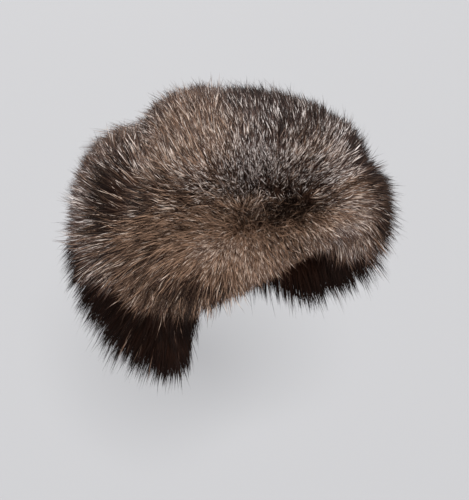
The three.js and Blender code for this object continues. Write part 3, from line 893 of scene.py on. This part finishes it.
def store_hair_colours(made, hairs, faces):
    """Tone, warmth and the place along each hair, for the material and the baked colours."""
    tone = np.minimum((hairs["tone"] * TONES).astype(int), TONES - 1)
    warmth = np.minimum((hairs["warmth"] * WARMTHS).astype(int), WARMTHS - 1)
    along = np.array([0.0, *np.repeat(HAIR_STEPS, 2), 1.0]) * hairs["stretch"][:, None]
    along = np.minimum(along, 1.0)
    corners = along.shape[1]
    store(made, "along", along.ravel())
    store(made, "tone", np.repeat((tone + 0.5) / TONES, corners))
    store(made, "warmth", np.repeat((warmth + 0.5) / WARMTHS, corners))

    columns = TONES * WARMTHS
    middle = (warmth * TONES + tone + 0.5) / columns
    u = middle[:, None] + np.array(STRIP_SIDES) * COLUMN_REACH / columns
    v = mix(COLUMN_END, 1.0 - COLUMN_END, along)
    places = np.stack([u, v], axis=-1).reshape(-1, 2)[faces.ravel()]
    layer = made.data.uv_layers.new(name="OFBake")
    layer.uv.foreach_set("vector", places.astype(np.float32).ravel())


def store(made, name, values):
    attribute = made.data.attributes.new(name, "FLOAT", "POINT")
    attribute.data.foreach_set("value", values.astype(np.float32))


def undercoat_object(name, grid, cells):
    """The undercoat's cells under one fur, with their faces outwards."""
    row, column = np.nonzero(cells)
    across = AROUND + 1
    first = row * across + column
    faces = np.stack([first, first + 1, first + across + 1, first + across], axis=-1)
    used, packed = np.unique(faces, return_inverse=True)
    points = grid["point"].reshape(-1, 3)[used]
    faces = packed.reshape(faces.shape)
    a, b, c = (points[faces[:, i]] for i in (0, 1, 2))
    facing = np.cross(b - a, c - a)
    outward = grid["normal"].reshape(-1, 3)[used][faces[:, 0]]
    if np.sum(facing * outward) < 0:
        faces = faces[:, ::-1]
    return new_object(name, points, faces)


def seam_level(height, side):
    """Level of a hide's edge, half a seam above or below a height."""
    return level_at(height + side * SEAM_GAP / 2.0)


def hide_levels(hide, turn):
    """Levels of the upper and the lower edge of a hide."""
    if hide == "crown":
        return np.full_like(turn, TOP_START), seam_level(part_height(turn), ABOVE)
    if hide == "band":
        return seam_level(part_height(turn), BELOW), seam_level(hem_height(turn), ABOVE)
    return seam_level(hem_height(turn), BELOW), level_at(edge_height(turn))


def hide_object(name, hide, turns):
    """One closed hide panel between two seams, with an inner and an outer face."""
    turn = np.linspace(*turns, HIDE_AROUND + 1)[None, :]
    share = np.linspace(0.0, 1.0, HIDE_DOWN + 1)[:, None]
    top, low = hide_levels(hide, turn)
    level = mix(top, low, share)
    turn = np.broadcast_to(turn, level.shape)
    sheets = [
        skin_point(turn, level, np.full(level.shape, out)).reshape(-1, 3)
        for out in (0.0, HIDE_THICKNESS)
    ]
    across = HIDE_AROUND + 1
    size = level.size
    row, column = np.mgrid[0:HIDE_DOWN, 0:HIDE_AROUND].reshape(2, -1)
    first = row * across + column
    inner = np.stack([first, first + across, first + across + 1, first + 1], axis=-1)
    faces = [inner, inner[:, ::-1] + size]

    # Rims that join the two faces: their first corners, the step along them and their flip
    around, down = np.arange(HIDE_AROUND), np.arange(HIDE_DOWN) * across
    rims = [(around, 1, False), (around + HIDE_DOWN * across, 1, True)]
    if turns != ALL_ROUND:
        rims += [(down, across, True), (down + HIDE_AROUND, across, False)]
    for edge, step, flip in rims:
        rim = np.stack([edge, edge + step, edge + step + size, edge + size], axis=-1)
        faces.append(rim[:, ::-1] if flip else rim)
    return new_object(name, np.concatenate(sheets), np.concatenate(faces))


def ramp(tree, factor, stops):
    node = tree.nodes.new("ShaderNodeValToRGB")
    elements = node.color_ramp.elements
    while len(elements) < len(stops):
        elements.new(0.5)
    for element, (place, colour) in zip(elements, stops):
        element.position = place
        element.color = (*colour, 1.0)
    tree.links.new(factor, node.inputs["Fac"])
    return node.outputs["Color"]


def mixed(tree, factor, a, b):
    node = tree.nodes.new("ShaderNodeMix")
    node.data_type = "RGBA"
    tree.links.new(factor, node.inputs["Factor"])
    tree.links.new(a, node.inputs["A"])
    tree.links.new(b, node.inputs["B"])
    return node.outputs["Result"]


def ranged(tree, value, low, high):
    node = tree.nodes.new("ShaderNodeMapRange")
    node.inputs["From Min"].default_value = low
    node.inputs["From Max"].default_value = high
    tree.links.new(value, node.inputs["Value"])
    return node.outputs["Result"]


def new_group(name, floats, colours):
    """Empty node group that puts out a colour, with its input and output nodes."""
    group = bpy.data.node_groups.new(name, "ShaderNodeTree")
    for names, kind in ((floats, "NodeSocketFloat"), (colours, "NodeSocketColor")):
        for socket in names:
            group.interface.new_socket(socket, in_out="INPUT", socket_type=kind)
    group.interface.new_socket("Color", in_out="OUTPUT", socket_type="NodeSocketColor")
    return group, group.nodes.new("NodeGroupInput"), group.nodes.new("NodeGroupOutput")


def strand_colour_group():
    """Colour of a hair from root to tip, for a dark, a brown or a banded one, cool or warm."""
    group, start, end = new_group("Strand colour", ("Along", "Tone", "Warmth"), ())
    along, tone, warmth = (start.outputs[name] for name in ("Along", "Tone", "Warmth"))
    dark, cool_brown, warm_brown, cool_band, warm_band = (
        ramp(group, along, stops) for stops in STRAND_COLOURS.values()
    )
    brown = mixed(group, warmth, cool_brown, warm_brown)
    banded = mixed(group, warmth, cool_band, warm_band)
    lower = mixed(group, ranged(group, tone, *BROWN_RANGE), dark, brown)
    colour = mixed(group, ranged(group, tone, *BAND_RANGE), lower, banded)
    group.links.new(colour, end.inputs["Color"])
    return group


def mottling_group():
    """Soft blotches between a deep and a pale colour."""
    group, start, end = new_group("Mottling", ("Scale",), ("Deep", "Pale"))
    place = group.nodes.new("ShaderNodeTexCoord")
    noise = group.nodes.new("ShaderNodeTexNoise")
    noise.inputs["Detail"].default_value = MOTTLING_DETAIL
    group.links.new(start.outputs["Scale"], noise.inputs["Scale"])
    group.links.new(place.outputs["Object"], noise.inputs["Vector"])
    blotch = ranged(group, noise.outputs["Fac"], *MOTTLING_RANGE)
    colour = mixed(group, blotch, start.outputs["Deep"], start.outputs["Pale"])
    group.links.new(colour, end.inputs["Color"])
    return group


def plain_material(name, roughness, gloss):
    material = bpy.data.materials.new(name)
    material.use_nodes = True
    shader = material.node_tree.nodes["Principled BSDF"]
    shader.inputs["Roughness"].default_value = roughness
    shader.inputs["Specular IOR Level"].default_value = gloss
    return material, material.node_tree, shader


def hair_material(name, group, gloss):
    material, tree, shader = plain_material(name, HAIR_ROUGHNESS, gloss)
    colour = tree.nodes.new("ShaderNodeGroup")
    colour.node_tree = group
    for socket, attribute in (("Along", "along"), ("Tone", "tone"), ("Warmth", "warmth")):
        node = tree.nodes.new("ShaderNodeAttribute")
        node.attribute_name = attribute
        tree.links.new(node.outputs["Fac"], colour.inputs[socket])
    tree.links.new(colour.outputs["Color"], shader.inputs["Base Color"])
    return material


def mottled_material(name, group, scale, deep, pale):
    material, tree, shader = plain_material(name, *MOTTLED_FINISH)
    blotches = tree.nodes.new("ShaderNodeGroup")
    blotches.node_tree = group
    blotches.inputs["Scale"].default_value = scale
    blotches.inputs["Deep"].default_value = (*deep, 1.0)
    blotches.inputs["Pale"].default_value = (*pale, 1.0)
    tree.links.new(blotches.outputs["Color"], shader.inputs["Base Color"])
    return material


def direction(azimuth, elevation):
    a, e = math.radians(azimuth), math.radians(elevation)
    return np.array([math.sin(a) * math.cos(e), -math.cos(a) * math.cos(e), math.sin(e)])


def looking(place, back, roll=0.0):
    """Matrix at a place, looking against back, with the picture turned by roll degrees."""
    right = unit(np.cross([0.0, 0.0, 1.0], back))
    up = np.cross(back, right)
    cosine, sine = math.cos(math.radians(roll)), math.sin(math.radians(roll))
    matrix = np.eye(4)
    matrix[:3, 0] = right * cosine - up * sine
    matrix[:3, 1] = right * sine + up * cosine
    matrix[:3, 2] = back
    matrix[:3, 3] = place
    return Matrix(matrix.tolist())


def camera_axes():
    """Right, up and backward directions of the camera."""
    towards = direction(CAMERA_AZIMUTH, CAMERA_ELEVATION)
    return np.array(looking((0.0, 0.0, 0.0), towards, CAMERA_ROLL))[:3, :3].T


def camera_aim(right, up):
    return AIM + right * PICTURE_OFFSET[0] + up * PICTURE_OFFSET[1]


def in_picture(points):
    """Where points land in the picture, in pixels from its top left corner."""
    right, up, back = camera_axes()
    seen = points - camera_aim(right, up)
    scale = CAMERA_DISTANCE / (CAMERA_DISTANCE - seen @ back)
    x = PICTURE_WIDTH / 2.0 + (seen @ right) * scale
    y = PICTURE_HEIGHT / 2.0 - (seen @ up) * scale
    return x, y


def add_camera():
    camera = bpy.data.cameras.new("camera")
    camera.sensor_width = SENSOR
    camera.lens = SENSOR * CAMERA_DISTANCE / PICTURE_HEIGHT
    camera.clip_start, camera.clip_end = SEEN_DEPTH
    made = bpy.data.objects.new("camera", camera)
    right, up, back = camera_axes()
    place = (camera_aim(right, up) + back * CAMERA_DISTANCE) * MM
    made.matrix_world = looking(place, back, CAMERA_ROLL)
    bpy.context.scene.collection.objects.link(made)
    bpy.context.scene.camera = made


def add_sun(name, azimuth, elevation, softness, strength):
    light = bpy.data.lights.new(name, "SUN")
    light.angle = softness
    light.energy = strength
    made = bpy.data.objects.new(name, light)
    made.matrix_world = looking((0.0, 0.0, 0.0), direction(azimuth, elevation))
    bpy.context.scene.collection.objects.link(made)


def add_stage():
    corners = np.array([[-1, -1, 0], [1, -1, 0], [1, 1, 0], [-1, 1, 0]]) * FLOOR_HALF_WIDTH
    floor = new_object("floor", corners + [0, 0, FLOOR_HEIGHT], np.array([[0, 1, 2, 3]]))
    material, _, shader = plain_material("Pale floor", *FLOOR_FINISH)
    shader.inputs["Base Color"].default_value = (*FLOOR_COLOUR, 1.0)
    floor.data.materials.append(material)
    world = bpy.data.worlds.new("Soft daylight")
    world.use_nodes = True
    background = world.node_tree.nodes["Background"]
    background.inputs["Color"].default_value = (*SKY_COLOUR, 1.0)
    background.inputs["Strength"].default_value = SKY_STRENGTH
    bpy.context.scene.world = world
    bpy.context.scene.view_settings.view_transform = "Standard"
    for name, values in SUNS.items():
        add_sun(name, *values)


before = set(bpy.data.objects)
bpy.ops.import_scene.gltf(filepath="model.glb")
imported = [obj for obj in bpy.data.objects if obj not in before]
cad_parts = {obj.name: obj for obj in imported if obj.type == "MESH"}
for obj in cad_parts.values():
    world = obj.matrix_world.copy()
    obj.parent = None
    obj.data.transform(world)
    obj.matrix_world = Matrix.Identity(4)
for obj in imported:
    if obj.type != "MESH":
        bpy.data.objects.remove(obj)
cad_low, cad_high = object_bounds()

grid = undercoat_grid()
regions = region_cells(grid)
strand_colour = strand_colour_group()
mottling = mottling_group()
underfur = mottled_material("Underfur", mottling, **UNDERFUR)
suede = mottled_material("Suede hide", mottling, **SUEDE)

box = (np.array(cad_low) / MM - TRIM_MARGIN, np.array(cad_high) / MM + TRIM_MARGIN)
rng = np.random.default_rng(SEED)
for region, fur in FURS.items():
    coat = undercoat_object(f"{region}_undercoat", grid, regions[region])
    coat.data.materials.append(underfur)
    pieces = [coat]
    material = hair_material(f"{region} hair", strand_colour, fur["gloss"])
    for layer, count in fur["tufts"].items():
        place = scatter(grid, regions[region], count, rng)
        hairs = hair_tufts(region, LAYERS[layer], place, box, rng)
        strands = hair_object(f"{region}_{layer}_hair", hairs, fur["hair_width"], rng)
        strands.data.materials.append(material)
        pieces.append(strands)
    for piece in pieces:
        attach(piece, "root")
        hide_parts(f"{region}_fur")

for hide, (name, turns, nodes) in HIDES.items():
    panel = hide_object(name, hide, turns)
    panel.data.materials.append(suede)
    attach(panel, "root")
    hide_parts(*nodes)

add_stage()
add_camera()
